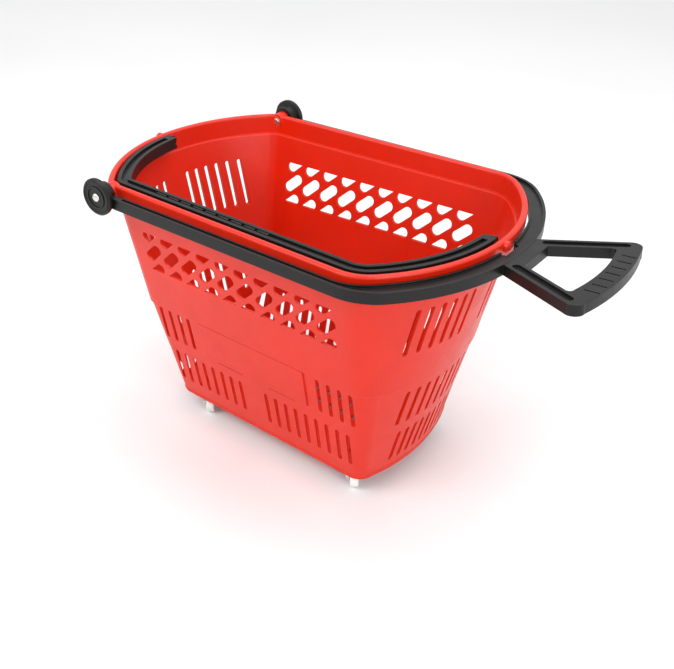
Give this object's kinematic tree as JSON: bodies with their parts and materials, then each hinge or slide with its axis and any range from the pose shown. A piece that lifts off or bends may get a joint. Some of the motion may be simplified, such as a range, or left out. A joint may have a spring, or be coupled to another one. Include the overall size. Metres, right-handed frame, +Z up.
{
  "type": "rolling basket trolley",
  "caption": "Red moulded shopping basket with slotted tapered walls on small swivel casters, folding carry handle and long pull handle with a D-grip.",
  "frame": {"origin": "on the floor, under the middle of the whole trolley's box", "axes": "+Z up, +X towards the D-grip of the folded pull handle, -Y the side on which the carry handle is folded"},
  "size_m": [0.7355, 0.4206, 0.4064],
  "materials": {
    "basket_plastic": "gloss",
    "handle_plastic": "satin",
    "rivet_steel": "satin",
    "pin_plastic": "gloss",
    "zinc_steel": "satin zinc plate",
    "wheel_nylon": "satin"
  },
  "bodies": {
    "basket": {"basket_body": "basket_plastic", "hub_rivet_right": "rivet_steel", "hub_washer_right": "rivet_steel", "hub_rivet_left": "rivet_steel", "hub_washer_left": "rivet_steel", "carry_pin_front": "pin_plastic", "carry_pin_rear": "pin_plastic", "caster_screws": "zinc_steel", "front_left_mounting_plate": "zinc_steel", "front_left_kingpin": "zinc_steel", "front_right_mounting_plate": "zinc_steel", "front_right_kingpin": "zinc_steel", "rear_left_mounting_plate": "zinc_steel", "rear_left_kingpin": "zinc_steel", "rear_right_mounting_plate": "zinc_steel", "rear_right_kingpin": "zinc_steel"},
    "pull_handle": {"pull_handle": "handle_plastic"},
    "carry_handle": {"carry_handle": "handle_plastic"},
    "front_left_caster": {"front_left_fork": "zinc_steel", "front_left_axle": "zinc_steel"},
    "front_left_wheel": {"front_left_wheel": "wheel_nylon"},
    "front_right_caster": {"front_right_fork": "zinc_steel", "front_right_axle": "zinc_steel"},
    "front_right_wheel": {"front_right_wheel": "wheel_nylon"},
    "rear_left_caster": {"rear_left_fork": "zinc_steel", "rear_left_axle": "zinc_steel"},
    "rear_left_wheel": {"rear_left_wheel": "wheel_nylon"},
    "rear_right_caster": {"rear_right_fork": "zinc_steel", "rear_right_axle": "zinc_steel"},
    "rear_right_wheel": {"rear_right_wheel": "wheel_nylon"}
  },
  "joints": [
    {"name": "pull_handle_hinge", "type": "hinge", "parent": "basket", "child": "pull_handle", "pos_m": [-0.27736, 0, 0.381], "axis": [0, -1, 0], "range_deg": [0, 180]},
    {"name": "carry_handle_hinge", "type": "hinge", "parent": "basket", "child": "carry_handle", "pos_m": [-0.08436, 0, 0.383], "axis": [-1, 0, 0], "range_deg": [0, 180]},
    {"name": "front_left_swivel", "type": "hinge", "parent": "basket", "child": "front_left_caster", "pos_m": [-0.20836, -0.081, 0.036], "axis": [0, 0, 1], "continuous": true},
    {"name": "front_left_spin", "type": "hinge", "parent": "front_left_caster", "child": "front_left_wheel", "pos_m": [-0.20434, -0.08673, 0.015], "axis": [0.8192, 0.5736, 0], "continuous": true},
    {"name": "front_right_swivel", "type": "hinge", "parent": "basket", "child": "front_right_caster", "pos_m": [-0.20836, 0.081, 0.036], "axis": [0, 0, 1], "continuous": true},
    {"name": "front_right_spin", "type": "hinge", "parent": "front_right_caster", "child": "front_right_wheel", "pos_m": [-0.20434, 0.07527, 0.015], "axis": [0.8192, 0.5736, 0], "continuous": true},
    {"name": "rear_left_swivel", "type": "hinge", "parent": "basket", "child": "rear_left_caster", "pos_m": [0.07164, -0.092, 0.036], "axis": [0, 0, 1], "continuous": true},
    {"name": "rear_left_spin", "type": "hinge", "parent": "rear_left_caster", "child": "rear_left_wheel", "pos_m": [0.07566, -0.09773, 0.015], "axis": [0.8192, 0.5736, 0], "continuous": true},
    {"name": "rear_right_swivel", "type": "hinge", "parent": "basket", "child": "rear_right_caster", "pos_m": [0.07164, 0.092, 0.036], "axis": [0, 0, 1], "continuous": true},
    {"name": "rear_right_spin", "type": "hinge", "parent": "rear_right_caster", "child": "rear_right_wheel", "pos_m": [0.07566, 0.08627, 0.015], "axis": [0.8192, 0.5736, 0], "continuous": true}
  ]
}
